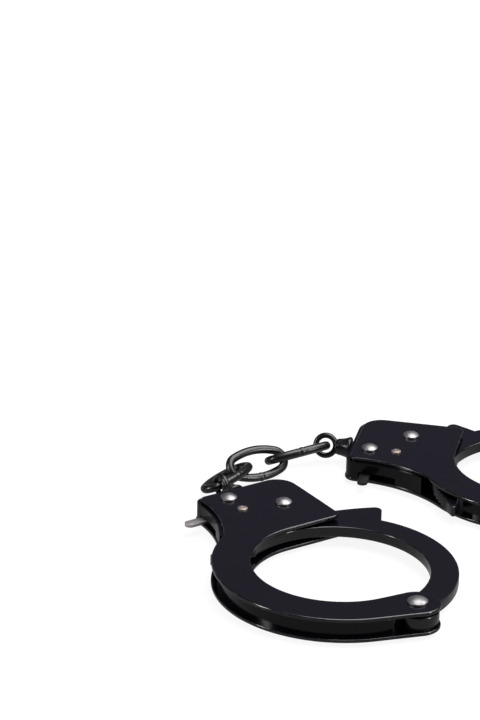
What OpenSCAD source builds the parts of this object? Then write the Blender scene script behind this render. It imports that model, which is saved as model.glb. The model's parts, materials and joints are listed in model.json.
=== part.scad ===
// Handcuffs: two hinged cuffs with pawl locks, joined by swivels and three chain links.
// Each cuff is drawn flat about the centre of its own ring, with z = 0 halfway through
// its thickness, the hinge towards +y and the lock case towards -y.

/* [Ring and cheek plates] */
// Inner radius of the ring between the cheek plates
ring_inner_r = 27; // [26:0.1:28]
// Width of the ring in the cheek plates
ring_w = 12.2; // [11.5:0.1:13]
// Thickness of each cheek plate
plate_t = 1.2; // [0.8:0.1:2]
// Clear space between the two cheek plates
plate_gap = 5.6; // [5.2:0.1:7]
// Distance of the spacer wall from the outer edge of the plates
spacer_inset = 2; // [1:0.1:2.5]
// Thickness of the spacer wall
spacer_t = 2; // [1:0.1:3]
// Direction in which the spacer wall starts, beside the strand's tip
spacer_from = -32; // [-36:1:-20]
// Direction in which the spacer wall ends, before the hinge
spacer_to = 82; // [60:1:83]

/* [Hinge] */
// Hinge pin across the cuff, from the ring's centre
hinge_x = -5; // [-6:0.1:-4]
// Hinge pin beyond the inside of the ring
hinge_rise = 8; // [7.2:0.1:9]
// Radius of the plates round the hinge
hinge_end_r = 7.3; // [6.5:0.1:7.8]
// Radius of the strand's eye round the hinge
strand_eye_r = 6.8; // [5.5:0.1:7.2]
// Radius of the hinge washers
hinge_washer_r = 6; // [4:0.1:6.5]

/* [Lock case] */
// Left side of the bottom plate's case, where the strand goes in
case_left_x = -21.3; // [-23:0.1:-20.5]
// Right side of the bottom plate's case at its foot
case_right_x = 14.4; // [14:0.1:15]
// Depth of the bottom plate's case below the teeth, down to its foot, where the swivel comes out
case_depth = 25.6; // [25:0.1:27]
// How far the top plate's case is drawn in from the edge of the bottom plate's
top_inset = 1.5; // [0.5:0.1:1.8]
// Corner radius at the left of the bottom plate's foot
foot_left_r = 8.3; // [6:0.1:9]
// Corner radius at the right of the bottom plate's foot
foot_right_r = 3.8; // [3.5:0.1:4.3]
// Straight stretch above that corner, before the right side flares out to the ring
foot_straight = 0.5; // [0.3:0.1:2]
// Corner radius at the mouth
mouth_r = 2.6; // [0.5:0.1:4]
// Distance of the lock frame from the edge of the bottom plate
frame_inset = 0.3; // [0.2:0.1:0.8]
// Thickness of the lock frame's strip
frame_t = 1.2; // [0.8:0.1:1.3]
// Gap between the teeth's path and the top of the lock frame's left wall
frame_left_gap = 1.9; // [1:0.1:5]
// Height of the lock frame's right wall above the teeth
frame_right_rise = 1.3; // [0:0.1:2]
// Length of the lever's window in the right wall
window_l = 12.7; // [12:0.1:14]
// Room round the lever in its window
window_gap = 0.75; // [0.5:0.05:0.9]

/* [Strand] */
// Thickness of the strand
strand_t = 3.6; // [3:0.1:4]
// How far the strand's inner edge lies outside the plates' inner edge
strand_inner_inset = 1.6; // [1.3:0.1:2]
// How far the strand's outer edge lies inside the plates' outer edge
strand_outer_inset = 1.8; // [1.2:0.1:2.4]
// Distance of the teeth from the inside of the ring
tooth_drop = 9.3; // [8.9:0.1:9.8]
// Direction of the shoulder's root from the ring's centre
shoulder_root_turn = 214; // [212:0.5:216]
// Direction of the shoulder's corner from the hinge
shoulder_corner_turn = 243.5; // [243:0.5:246]
// Corner radius of the shoulder
shoulder_r = 2.2; // [0.5:0.1:2.5]
// Direction of the tip's outer corner from the hinge, before it is rounded
tip_outer_turn = 300.4; // [299:0.1:301]
// Radius of the tip's outer corner
tip_r = 0.8; // [0.4:0.1:1]
// Direction of the tip's inner corner from the ring's centre
tip_inner_turn = 299.5; // [297:0.5:303]
// Number of teeth
tooth_count = 17; // [12:1:17]
// Direction of the first tooth from the hinge
tooth_from_turn = 264.4; // [264:0.1:264.6]
// Length of a tooth along the strand
tooth_pitch = 2.4; // [2.2:0.05:2.4]
// Depth of a tooth
tooth_depth = 1; // [0.6:0.1:1.1]
// How far the holding face of a tooth leans back over its depth
tooth_lean = 0.25; // [0.2:0.05:0.4]

/* [Rivets and key post] */
// Shank radius of the rivets
shank_r = 2; // [1.6:0.1:2.2]
// Head radius of the two rivets in the lock case
case_head_r = 2.65; // [2.4:0.05:3.2]
// Head radius of the hinge rivet
hinge_head_r = 3.2; // [2.5:0.1:4]
// Height of the rivet heads
head_h = 1.6; // [1.3:0.1:1.8]
// Upright rim of the rivet heads, under their domes
head_rim = 0.6; // [0.3:0.1:0.8]
// Foot rivet across the cuff
foot_rivet_x = 4.8; // [4.4:0.1:5.2]
// Foot rivet above the foot of the case
foot_rivet_rise = 7; // [6.9:0.1:7.5]
// Pawl rivet across the cuff
pawl_rivet_x = -8.6; // [-9:0.1:-8.2]
// Pawl rivet below the teeth
pawl_rivet_drop = 7; // [6.8:0.1:7.4]
// Outer radius of the spacer sleeve on the foot rivet
sleeve_r = 2.7; // [2.4:0.1:2.8]
// Key post across the cuff
key_post_x = 5.3; // [5:0.1:5.4]
// Key post below the teeth
key_post_drop = 9.7; // [9.5:0.1:10]
// Radius of the key post
key_post_r = 1.6; // [1.2:0.1:1.8]
// Upright rim of the key post's riveted end
key_post_rim = 0.5; // [0.2:0.05:0.6]
// Height of the dome on the key post's riveted end
key_post_dome_h = 0.35; // [0.2:0.05:0.6]
// Width of the key's way round the post in the bottom plate
key_way = 1.7; // [1.2:0.1:1.8]
// Width of the slot for the key's bit
bit_slot_w = 2.2; // [1.5:0.1:3]
// Reach of the slot for the key's bit, from the key post
bit_slot_reach = 6.4; // [5:0.1:7]

/* [Pawl, lever and spring] */
// Thickness of the pawl
pawl_t = 3.2; // [2.6:0.1:3.4]
// Depth of the pawl's head behind its teeth
pawl_head_depth = 4.6; // [3.5:0.1:4.8]
// Radius of the pawl's hub
pawl_hub_r = 4; // [3.2:0.1:4.3]
// Number of the strand's tooth that the pawl's first tooth meets
pawl_first_tooth = 8; // [8:1:8]
// Number of teeth on the pawl
pawl_tooth_count = 3; // [2:1:3]
// Length of the pawl's head past its last tooth
pawl_heel = 0.6; // [0.4:0.1:0.8]
// Turn that takes the pawl from lifted clear to locked
pawl_travel = 5.5; // [5.3:0.1:6]
// Gap between the pawl's teeth and the strand's when locked
mesh_gap = 0.2; // [0.15:0.05:0.25]
// Gap between the holding faces of the teeth when locked
holding_gap = 0.3; // [0.3:0.05:0.4]
// Far end of the release lever
lever_end_x = 21.2; // [19:0.1:24]
// Middle of the release lever above the foot of the case
lever_rise = 7.3; // [7.1:0.1:7.6]
// Width of the release lever
lever_w = 3.4; // [3:0.1:3.9]
// Underside of the release lever, below mid thickness
lever_low_z = 1.9; // [1.8:0.1:2.4]
// Thickness of the release lever
lever_t = 1; // [0.9:0.1:1.6]
// Width of the band that joins the lever to the pawl's head
lever_neck_w = 2.6; // [2:0.1:2.8]
// Thickness of the spring's strip
spring_t = 0.5; // [0.3:0.05:0.6]
// Opening in the spring's bend round the sleeve
spring_opening = 80; // [60:5:120]
// Height of the spring's strip
spring_h = 3; // [2:0.1:4]

/* [Swivel] */
// Swivel axis across the cuff
swivel_x = -2.9; // [-4:0.1:-2.5]
// Radius of the neck in the lock frame
neck_r = 1.75; // [1.4:0.05:2]
// Radius of the collar against the case
collar_r = 3.65; // [3:0.05:4.2]
// Radius of the collar's outer end
collar_end_r = 2.7; // [2.2:0.05:3]
// Length of the collar
collar_l = 5.2; // [4.7:0.1:5.7]
// Centre of the eye beyond the foot of the case
eye_reach = 9.1; // [8.7:0.1:9.7]
// Radius of the eye at the middle of its wire
eye_r = 3.35; // [3.2:0.05:3.6]
// Radius of the eye's wire
eye_wire_r = 0.95; // [0.8:0.05:1]
// Radius of the washer inside the case
swivel_washer_r = 2.6; // [2.3:0.05:2.7]
// Thickness of the washer inside the case
swivel_washer_t = 0.8; // [0.5:0.1:1]
// Radius of the swivel's head inside the case
swivel_head_r = 2.4; // [2:0.05:2.6]
// Thickness of the swivel's head inside the case
swivel_head_t = 1.2; // [0.8:0.1:1.6]

/* [Chain links] */
// Radius of the links' wire
link_wire_r = 1.4; // [1.2:0.05:1.5]
// Length of a link at the middle of its wire
link_l = 20.6; // [20:0.1:21.5]
// Greatest width of a link at the middle of its wire
link_w = 9.3; // [8.9:0.1:9.7]
// Radius of a link's ends at the middle of its wire
link_end_r = 3.4; // [3.2:0.1:3.8]

/* [Running clearances] */
// Radial clearance of a pin that turns in its bore
run_gap = 0.05; // [0.02:0.01:0.1]
// Radial clearance of a rivet in the pieces that it holds
rivet_gap = 0.02; // [0.01:0.01:0.05]
// Side clearance between flat moving faces
side_gap = 0.1; // [0.05:0.05:0.3]

/* [Layout on the table] */
// Turn of the front cuff
cuff_a_turn = -146.5; // [-150:0.5:-140]
// Turn of the rear cuff
cuff_b_turn = -101.3; // [-105:0.1:-100]
// Teeth that the rear cuff is closed further than the front one
strand_b_clicks = 4; // [0:1:6]
// Turn of the front swivel about its own axis
swivel_a_turn = 0; // [-3:0.5:3]
// Turn of the rear swivel about its own axis
swivel_b_turn = -24; // [-26:0.5:-22]
// Ring centre of the front cuff, across the table from the middle of the set
ring_a_x = -30.5; // [-60:0.1:0]
// Ring centre of the front cuff, along the table from the middle of the set
ring_a_y = -35.7; // [-60:0.1:0]

/* [Hidden] */
$fn = 64;
// Overlap of a cut past a face
cut = 1;
// How far inside a curve a straight edge that touches it ends
tuck = 0.01;
thickness = plate_gap + 2 * plate_t;
mid_z = thickness / 2 + head_h;

ring_outer_r = ring_inner_r + ring_w;
hinge = [hinge_x, ring_inner_r + hinge_rise];
// Level of the teeth under the hinge, and of the foot of the case
teeth_y = -ring_inner_r - tooth_drop;
case_end_y = teeth_y - case_depth;
// Distance from the hinge to the tips of the teeth
sweep_r = hinge.y - teeth_y;
foot_rivet = [foot_rivet_x, case_end_y + foot_rivet_rise];
pawl_rivet = [pawl_rivet_x, teeth_y - pawl_rivet_drop];
key_post_at = [key_post_x, teeth_y - key_post_drop];
rivet_hole_r = shank_r + rivet_gap;
lever_y = case_end_y + lever_rise;
lever_top_z = lever_t - lever_low_z;

strand_inner_r = ring_inner_r + strand_inner_inset;
strand_outer_r = ring_outer_r - strand_outer_inset;
pitch_turn = tooth_pitch / sweep_r * 180 / PI;
// Teeth that fit on the strand before its tip
teeth = min(tooth_count, floor((tip_outer_turn - tooth_from_turn) / pitch_turn));

// The case's right side is an arc that starts upright at flare_y and touches the ring's outer edge
flare_y = case_end_y + foot_right_r + foot_straight;
flare_k = ring_outer_r - case_right_x;
flare_x = (flare_y ^ 2 - flare_k ^ 2) / (2 * flare_k);
flare_r = flare_x - case_right_x;
flare_meet = [flare_x, flare_y] * ring_outer_r / (ring_outer_r + flare_r);

// The plates run into the hinge end along lines that touch the ring and the end
hinge_turn = atan2(hinge.y, hinge.x);
outer_line_turn = hinge_turn - acos((ring_outer_r - hinge_end_r) / norm(hinge));
inner_line_turn = hinge_turn - acos((ring_inner_r + hinge_end_r) / norm(hinge));

// Each side of a link is an arc that touches the arcs of both ends
link_end_x = link_l / 2 - link_end_r;
link_bow = link_w / 2 - link_end_r;
link_side_r = link_end_r + (link_end_x ^ 2 + link_bow ^ 2) / (2 * link_bow);
link_side_drop = link_side_r - link_w / 2;
link_end_turn = atan2(link_side_drop, link_end_x);
// Wire of the sides, a hair thinner than that of the ends, and how far each runs on into the other
link_side_wire_r = link_wire_r - 3 * tuck;
link_lap = 0.24;
// Distance from a link's centre to the middle of the room left for its neighbour
link_hook = link_l / 2 - link_wire_r;

// Heading, rise and roll of each link as it lies
link_a_pose = [56.3, 1.3, -22.7];
link_mid_pose = [32.5, -2.2, 49.6];
link_b_pose = [24.3, 5.6, -30.5];
// Slack at each place where a link hangs on the next piece
slack_eye_a = [-3.4, 1.38, -1.31];
slack_mid = [-2.59, -3.12, 1.26];
slack_b = [-2.23, -1.23, 0.29];
slack_eye_b = [1.4, 4.93, -1.69];

eye_y = case_end_y - eye_reach;
cuff_a_at = [ring_a_x, ring_a_y, mid_z];
eye_a_at = cuff_a_at + turned([swivel_x, eye_y], cuff_a_turn);
link_a_at = eye_a_at + link_hook * heading(link_a_pose) + slack_eye_a;
link_mid_at = link_a_at + link_hook * (heading(link_a_pose) + heading(link_mid_pose)) + slack_mid;
link_b_at = link_mid_at + link_hook * (heading(link_mid_pose) + heading(link_b_pose)) + slack_b;
eye_b_at = link_b_at + link_hook * heading(link_b_pose) + slack_eye_b;
cuff_b_flat = eye_b_at - turned([swivel_x, eye_y], cuff_b_turn);
cuff_b_at = [cuff_b_flat.x, cuff_b_flat.y, mid_z];

black_metal = "#1f1d26";
bright_steel = "#c9c9cc";
dull_steel = "#8f9196";
brass = "#b5935c";

function polar(r, turn) = r * [cos(turn), sin(turn)];
function turned(p, turn) = [p.x * cos(turn) - p.y * sin(turn), p.x * sin(turn) + p.y * cos(turn), 0];
// From a circle's centre to where a line from point p touches it, on the left side if r is positive
function touching(centre, p, r) =
  let (way = p - centre)
    polar(abs(r), atan2(way.y, way.x) + sign(r) * acos(abs(r) / norm(way)));
function heading(pose) = [cos(pose[1]) * cos(pose[0]), cos(pose[1]) * sin(pose[0]), sin(pose[1])];

// Placing

module cuff_a() translate(cuff_a_at) rotate(cuff_a_turn) children();

module cuff_b() translate(cuff_b_at) rotate(cuff_b_turn) children();

module slab(low, high) translate([0, 0, low]) linear_extrude(high - low) children();

module at(p) translate([p.x, p.y, 0]) children();

// A piece of plate between two directions, drawn as the area swept from one to the other
module sector(r, from, to) {
  steps = ceil((to - from) / 60);
  polygon(concat([[0, 0]], [for (i = [0:steps]) polar(r, from + (to - from) * i / steps)]));
}

// What a square corner loses when it is rounded, for a corner whose sides run along +x and +y
module corner_waste(r) {
  difference() {
    translate([-cut, -cut]) square(r + cut);
    translate([r, r]) circle(r);
  }
}

// Outlines

// The lock case, drawn in from its sides and foot by d
module case_area(d, top_y) {
  difference() {
    polygon([
      [case_left_x + d, top_y], [case_left_x + d, case_end_y + d], [case_right_x, case_end_y + d],
      [case_right_x, flare_y], [flare_x, flare_y], [flare_x, top_y]
    ]);
    translate([flare_x, flare_y]) circle(flare_r + d);
    translate([case_right_x - d, case_end_y - cut]) square([flare_x, flare_y - case_end_y + cut]);
    translate([case_left_x + d, case_end_y + d]) corner_waste(foot_left_r - d);
    translate([case_right_x - d, case_end_y + d]) rotate(90) corner_waste(foot_right_r - d);
  }
}

// A plate whose lock case is drawn in by d
module plate_outline(d) {
  difference() {
    union() {
      difference() {
        circle(ring_outer_r);
        sector(2 * ring_outer_r, (inner_line_turn + outer_line_turn) / 2, 270);
      }
      at(hinge) circle(hinge_end_r);
      polygon([
        [0, 0], polar(ring_outer_r - tuck, outer_line_turn),
        hinge + polar(hinge_end_r - tuck, outer_line_turn), hinge,
        hinge - polar(hinge_end_r - tuck, inner_line_turn), polar(ring_inner_r - tuck, inner_line_turn)
      ]);
      intersection() {
        case_area(d, -ring_inner_r);
        polygon([
          [0, 0], [2 * case_left_x, 0], [2 * case_left_x, 2 * case_end_y],
          [2 * ring_outer_r, 2 * case_end_y], 2 * flare_meet
        ]);
      }
    }
    circle(ring_inner_r);
    translate([case_left_x + d, -ring_inner_r]) rotate(-90) corner_waste(mouth_r);
    at(hinge) circle(rivet_hole_r);
    at(foot_rivet) circle(rivet_hole_r);
    at(pawl_rivet) circle(rivet_hole_r);
  }
}

// One tooth about the hinge, pointing in: steep on the side that holds, sloping on the other
module tooth(r, deep, root) {
  lean_turn = tooth_lean * (1 + root / tooth_depth) / sweep_r * 180 / PI;
  at(hinge)
    polygon([
      polar(r + root, deep + lean_turn), polar(r - tooth_depth, deep),
      polar(r, deep - pitch_turn), polar(r + root, deep - pitch_turn)
    ]);
}

// What the strand loses when a corner on the path of its teeth is rounded. The strand's end runs from that
// corner towards the point inner, and the metal is on its left if side is 1 and on its right if side is -1.
module path_corner_waste(corner, inner, r, side) {
  end_way = (inner - corner) / norm(inner - corner);
  end_in = side * [-end_way.y, end_way.x];
  arm = corner - hinge;
  reach = r - tuck;
  back = -arm * end_way - sqrt((sweep_r - reach) ^ 2 - (arm * end_in + reach) ^ 2);
  centre = corner + reach * end_in + back * end_way;
  difference() {
    polygon([
      centre, centre - 2 * r * end_in, 2 * corner - centre,
      centre + 2 * r * (centre - hinge) / (sweep_r - reach)
    ]);
    at(centre) circle(r);
  }
}

module strand_outline() {
  root = polar(strand_outer_r, shoulder_root_turn);
  corner = hinge + polar(sweep_r, shoulder_corner_turn);
  tip_outer = hinge + polar(sweep_r, tip_outer_turn);
  tip_inner = polar(strand_inner_r, tip_inner_turn);
  difference() {
    union() {
      intersection() {
        circle(strand_outer_r);
        sector(2 * strand_outer_r, hinge_turn, shoulder_root_turn);
      }
      at(hinge) circle(strand_eye_r);
      intersection() {
        at(hinge) circle(sweep_r);
        polygon([
          [0, 0], root, 2 * corner - root, [2 * case_left_x, 2 * case_end_y],
          [2 * ring_outer_r, 2 * case_end_y], 2 * tip_outer - tip_inner, tip_inner
        ]);
      }
    }
    circle(strand_inner_r);
    path_corner_waste(corner, root, shoulder_r, -1);
    path_corner_waste(tip_outer, tip_inner, tip_r, 1);
    for (i = [0:teeth - 1]) tooth(sweep_r, tooth_from_turn + i * pitch_turn, cut);
    at(hinge) circle(shank_r + run_gap);
  }
}

// The pawl's arm and head where they lie when locked into the strand
module locked_pawl_outline() {
  first = tooth_from_turn + (pawl_first_tooth - 1) * pitch_turn - holding_gap / sweep_r * 180 / PI;
  last = first + pawl_tooth_count * pitch_turn + pawl_heel / sweep_r * 180 / PI;
  face_r = sweep_r + mesh_gap;
  at(hinge)
    intersection() {
      difference() {
        circle(face_r + pawl_head_depth);
        circle(face_r);
      }
      sector(2 * sweep_r, first, last);
    }
  for (i = [1:pawl_tooth_count]) tooth(face_r, first + i * pitch_turn, mesh_gap);
  arm_top = hinge + polar(face_r + 2 * mesh_gap, first + pitch_turn);
  arm_foot = hinge + polar(face_r + pawl_head_depth - mesh_gap, first + pitch_turn);
  polygon([
    pawl_rivet + touching(pawl_rivet, arm_top, pawl_hub_r), arm_top,
    arm_foot, pawl_rivet + touching(pawl_rivet, arm_foot, -pawl_hub_r)
  ]);
}

module pawl_outline() {
  difference() {
    union() {
      at(pawl_rivet) circle(pawl_hub_r);
      at(pawl_rivet) rotate(-pawl_travel) at(-pawl_rivet) locked_pawl_outline();
    }
    at(pawl_rivet) circle(shank_r + run_gap);
  }
}

// The lever's bar and the band that carries it, from the pawl's head round the key post
module lever_outline() {
  lever_r = lever_w / 2;
  key_room = key_post_r + key_way + mesh_gap;
  band_x = key_post_x + key_room;
  band_top_y = key_post_at.y + 2 * (key_post_r + key_way);
  bar_x = foot_rivet_x + sleeve_r + 2 * spring_t + mesh_gap;
  translate([bar_x, lever_y - lever_r]) square([lever_end_x - lever_r - bar_x, lever_w]);
  translate([lever_end_x - lever_r, lever_y]) circle(lever_r);
  polygon([
    [bar_x, lever_y], [band_x, key_post_at.y], [band_x + lever_neck_w / 2, key_post_at.y + key_room],
    [band_x + lever_neck_w / 2, band_top_y], [band_x + 2 * lever_neck_w, band_top_y],
    [band_x + lever_neck_w, key_post_at.y], [band_x + lever_neck_w, lever_y]
  ]);
}

// Pieces of a cuff

module plate(low, inset) {
  color(black_metal)
    difference() {
      slab(low, low + plate_t) plate_outline(inset);
      children();
    }
}

module top_plate() {
  plate(plate_gap / 2, top_inset)
    slab(plate_gap / 2 - cut, thickness) at(key_post_at) circle(key_post_r + rivet_gap);
}

module bottom_plate() {
  plate(-thickness / 2, 0) slab(-thickness, -plate_gap / 2 + cut) at(key_post_at) {
    circle(key_post_r + key_way);
    translate([-bit_slot_reach, -bit_slot_w / 2]) square([bit_slot_reach, bit_slot_w]);
  }
}

module cheek_spacer() {
  outer_r = ring_outer_r - spacer_inset;
  color(black_metal)
    slab(-plate_gap / 2, plate_gap / 2)
      intersection() {
        difference() {
          circle(outer_r);
          circle(outer_r - spacer_t);
        }
        sector(2 * ring_outer_r, spacer_from, spacer_to);
      }
}

module lock_frame() {
  wall_in = frame_inset + frame_t;
  color(black_metal)
    difference() {
      slab(-plate_gap / 2, plate_gap / 2)
        difference() {
          case_area(frame_inset, teeth_y + frame_right_rise);
          case_area(wall_in, 0);
          translate([2 * case_left_x, teeth_y - frame_left_gap]) square([-2 * case_left_x, plate_gap]);
        }
      translate([case_right_x - 2 * wall_in, lever_y - lever_w / 2 - window_gap, -plate_gap])
        cube([flare_x - case_right_x, window_l, plate_gap + lever_top_z + window_gap / 2]);
      swivel_axis() cylinder(r = neck_r + run_gap, h = 4 * wall_in, center = true);
    }
}

// The strand, closed by some teeth past where the front cuff's lies
module strand(clicks) {
  color(black_metal)
    at(hinge) rotate(clicks * pitch_turn) at(-hinge)
      slab(-strand_t / 2, strand_t / 2) strand_outline();
}

// A low dome that stands on z = 0
module dome(base_r, h) {
  ball_r = (base_r ^ 2 + h ^ 2) / (2 * h);
  intersection() {
    translate([0, 0, h - ball_r]) sphere(ball_r);
    cylinder(r = base_r + cut, h = h + cut);
  }
}

// A rivet through both plates, with a domed head at each end
module rivet(p, head_r) {
  color(bright_steel)
    at(p) {
      cylinder(r = shank_r, h = thickness, center = true);
      for (side = [0, 180])
        rotate([side, 0, 0]) translate([0, 0, thickness / 2]) {
          cylinder(r = head_r, h = head_rim);
          translate([0, 0, head_rim]) dome(head_r - tuck, head_h - head_rim);
        }
    }
}

// A pair of washers that keeps a turning piece of thickness t halfway between the plates
module washers(p, r, t) {
  washer_t = (plate_gap - t) / 2 - side_gap;
  color(dull_steel)
    at(p)
      for (low = [-plate_gap / 2, plate_gap / 2 - washer_t])
        slab(low, low + washer_t)
          difference() {
            circle(r);
            circle(rivet_hole_r);
          }
}

module hinge_rivet() rivet(hinge, hinge_head_r);

module hinge_washers() washers(hinge, hinge_washer_r, strand_t);

module foot_rivet() rivet(foot_rivet, case_head_r);

module foot_sleeve() {
  color(dull_steel)
    at(foot_rivet)
      slab(-plate_gap / 2, plate_gap / 2)
        difference() {
          circle(sleeve_r);
          circle(rivet_hole_r);
        }
}

module pawl_rivet() rivet(pawl_rivet, case_head_r);

module pawl_washers() washers(pawl_rivet, pawl_hub_r - spring_t, pawl_t);

module pawl() {
  color(bright_steel) {
    slab(-pawl_t / 2, pawl_t / 2) pawl_outline();
    slab(-lever_low_z, lever_top_z) lever_outline();
  }
}

// A leaf spring bent round the foot rivet's sleeve, with one leg under the lever
module pawl_spring() {
  inner_r = sleeve_r + mesh_gap;
  outer_r = inner_r + spring_t;
  leg_end_x = foot_rivet_x + outer_r + lever_neck_w / 2;
  leg_top_y = lever_y - lever_w / 2 - mesh_gap;
  color(dull_steel)
    slab(-spring_h / 2, spring_h / 2) {
      at(foot_rivet)
        difference() {
          circle(outer_r);
          circle(inner_r);
          rotate(-spring_opening * 3 / 4) sector(2 * outer_r, 0, spring_opening);
        }
      polygon([
        foot_rivet + polar(outer_r, -90), [leg_end_x, leg_top_y - spring_t],
        [leg_end_x, leg_top_y], foot_rivet + polar(inner_r, -90)
      ]);
    }
}

module key_post() {
  head_r = key_post_r + rivet_gap;
  shoulder_t = plate_t / 2;
  free_end_z = plate_gap / 2 + plate_t / 2;
  color(brass)
    at(key_post_at) {
      translate([0, 0, -free_end_z]) cylinder(r = key_post_r, h = free_end_z + thickness / 2);
      slab(plate_gap / 2 - shoulder_t, plate_gap / 2) circle(key_post_r + shoulder_t);
      translate([0, 0, thickness / 2]) cylinder(r = head_r, h = key_post_rim);
      translate([0, 0, thickness / 2 + key_post_rim]) dome(head_r - tuck, key_post_dome_h);
    }
}

// Turns +z to point out of the case's foot, along the swivel
module swivel_axis() translate([swivel_x, case_end_y, 0]) rotate([90, 0, 0]) children();

module swivel_washer() {
  wall_in = frame_inset + frame_t;
  color(dull_steel)
    swivel_axis()
      slab(-wall_in - swivel_washer_t, -wall_in)
        difference() {
          circle(swivel_washer_r);
          circle(neck_r + run_gap);
        }
}

module swivel(turn) {
  head_z = -frame_inset - frame_t - swivel_washer_t - side_gap;
  collar_z = 3 * side_gap;
  color(black_metal)
    swivel_axis()
      rotate(-turn) {
        translate([0, 0, head_z - swivel_head_t]) cylinder(r = swivel_head_r, h = swivel_head_t);
        translate([0, 0, head_z]) cylinder(r = neck_r, h = collar_z - head_z);
        translate([0, 0, collar_z]) cylinder(r1 = collar_r, r2 = collar_end_r, h = collar_l);
        translate([0, 0, eye_reach]) rotate([0, 90, 0])
          rotate_extrude() translate([eye_r, 0]) circle(eye_wire_r);
      }
}

// An arc of wire to both sides of +x, with its laps
module wire_arc(r, wire_r, turn) {
  lapped_turn = turn + link_lap / r * 180 / PI;
  rotate(-lapped_turn) rotate_extrude(angle = 2 * lapped_turn) translate([r, 0]) circle(wire_r);
}

// A welded link of round wire bent to an oval, with its length along x and its face along z
module chain_link(place, pose) {
  color(black_metal)
    translate(place) rotate([pose[2], -pose[1], pose[0]])
      for (half = [0, 180])
        rotate(half) {
          translate([link_end_x, 0, 0]) wire_arc(link_end_r, link_wire_r, link_end_turn);
          translate([0, -link_side_drop, 0]) rotate(90)
            wire_arc(link_side_r, link_side_wire_r, 90 - link_end_turn);
        }
}

cuff_a() top_plate();  // top_plate_a
cuff_a() bottom_plate();  // bottom_plate_a
cuff_a() cheek_spacer();  // cheek_spacer_a
cuff_a() lock_frame();  // lock_frame_a
cuff_a() strand(0);  // strand_a
cuff_a() hinge_rivet();  // hinge_rivet_a
cuff_a() hinge_washers();  // hinge_washers_a
cuff_a() foot_rivet();  // foot_rivet_a
cuff_a() foot_sleeve();  // foot_sleeve_a
cuff_a() pawl_rivet();  // pawl_rivet_a
cuff_a() pawl_washers();  // pawl_washers_a
cuff_a() pawl();  // pawl_a
cuff_a() pawl_spring();  // pawl_spring_a
cuff_a() key_post();  // key_post_a
cuff_a() swivel(swivel_a_turn);  // swivel_a
cuff_a() swivel_washer();  // swivel_washer_a
chain_link(link_a_at, link_a_pose);  // chain_link_a
chain_link(link_mid_at, link_mid_pose);  // chain_link_mid
chain_link(link_b_at, link_b_pose);  // chain_link_b
cuff_b() top_plate();  // top_plate_b
cuff_b() bottom_plate();  // bottom_plate_b
cuff_b() cheek_spacer();  // cheek_spacer_b
cuff_b() lock_frame();  // lock_frame_b
cuff_b() strand(strand_b_clicks);  // strand_b
cuff_b() hinge_rivet();  // hinge_rivet_b
cuff_b() hinge_washers();  // hinge_washers_b
cuff_b() foot_rivet();  // foot_rivet_b
cuff_b() foot_sleeve();  // foot_sleeve_b
cuff_b() pawl_rivet();  // pawl_rivet_b
cuff_b() pawl_washers();  // pawl_washers_b
cuff_b() pawl();  // pawl_b
cuff_b() pawl_spring();  // pawl_spring_b
cuff_b() key_post();  // key_post_b
cuff_b() swivel(swivel_b_turn);  // swivel_b
cuff_b() swivel_washer();  // swivel_washer_b
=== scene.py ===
# %% [markdown]
# # A pair of black handcuffs, dressed for its portrait
# The frame that is loaded here already holds every piece of the cuffs at its real size: stamped plates,
# toothed strands, locks, swivels and chain. This lesson gives them the look of the real thing: a glossy
# black coat with softly rounded edges, bright rivets, a small brass key post and welded wire links. A CAD
# piece has perfectly sharp edges. A real stamping never has, and the thin light lines that run round a
# black part are reflections in those rounded edges, so most of the work below is about edges.

# %% Load the frame
import json
import math

import bmesh
import bpy
import numpy as np
from mathutils import Matrix, Vector


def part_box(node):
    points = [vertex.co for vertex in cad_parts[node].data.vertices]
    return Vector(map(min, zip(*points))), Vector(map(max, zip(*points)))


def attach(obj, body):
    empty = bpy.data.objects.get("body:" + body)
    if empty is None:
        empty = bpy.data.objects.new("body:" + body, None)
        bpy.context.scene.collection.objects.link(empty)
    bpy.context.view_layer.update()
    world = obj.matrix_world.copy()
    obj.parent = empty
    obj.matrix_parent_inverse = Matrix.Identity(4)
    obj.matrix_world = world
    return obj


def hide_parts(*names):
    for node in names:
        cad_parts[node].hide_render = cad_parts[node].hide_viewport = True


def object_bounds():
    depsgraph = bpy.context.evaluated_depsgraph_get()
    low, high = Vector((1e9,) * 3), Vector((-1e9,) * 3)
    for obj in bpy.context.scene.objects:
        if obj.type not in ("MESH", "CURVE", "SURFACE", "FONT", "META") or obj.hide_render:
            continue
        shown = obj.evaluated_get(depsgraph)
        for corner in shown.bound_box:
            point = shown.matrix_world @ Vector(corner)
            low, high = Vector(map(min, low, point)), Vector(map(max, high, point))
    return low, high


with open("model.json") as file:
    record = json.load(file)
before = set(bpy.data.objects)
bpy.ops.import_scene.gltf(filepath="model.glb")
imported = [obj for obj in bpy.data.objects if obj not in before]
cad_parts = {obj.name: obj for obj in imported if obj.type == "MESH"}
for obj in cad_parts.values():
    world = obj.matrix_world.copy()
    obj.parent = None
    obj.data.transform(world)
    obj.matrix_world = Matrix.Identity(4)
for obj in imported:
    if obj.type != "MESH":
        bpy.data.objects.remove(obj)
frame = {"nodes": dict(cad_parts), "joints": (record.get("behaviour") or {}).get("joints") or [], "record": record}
cad_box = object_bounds()
nodes = frame["nodes"]
record = frame["record"]
MM = 0.001

# %% [markdown]
# ## Where things are
# Every place is read from the frame, so that nothing is placed by eye. Each CAD node rides on a body and
# has a material slot, and each joint has a point and an axis. A new piece takes all of these from the
# node that it stands for.

# %% Look-up tables from the frame
body_of = {node: body for body, members in record["behaviour"]["bodies"].items() for node in members}
slot_of = {part["node"]: part["material_slot"] for part in record["subparts"]}
joints = {joint["name"]: joint for joint in frame["joints"]}
CUFFS = ("a", "b")
print("slots:", sorted(set(slot_of.values())))

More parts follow.
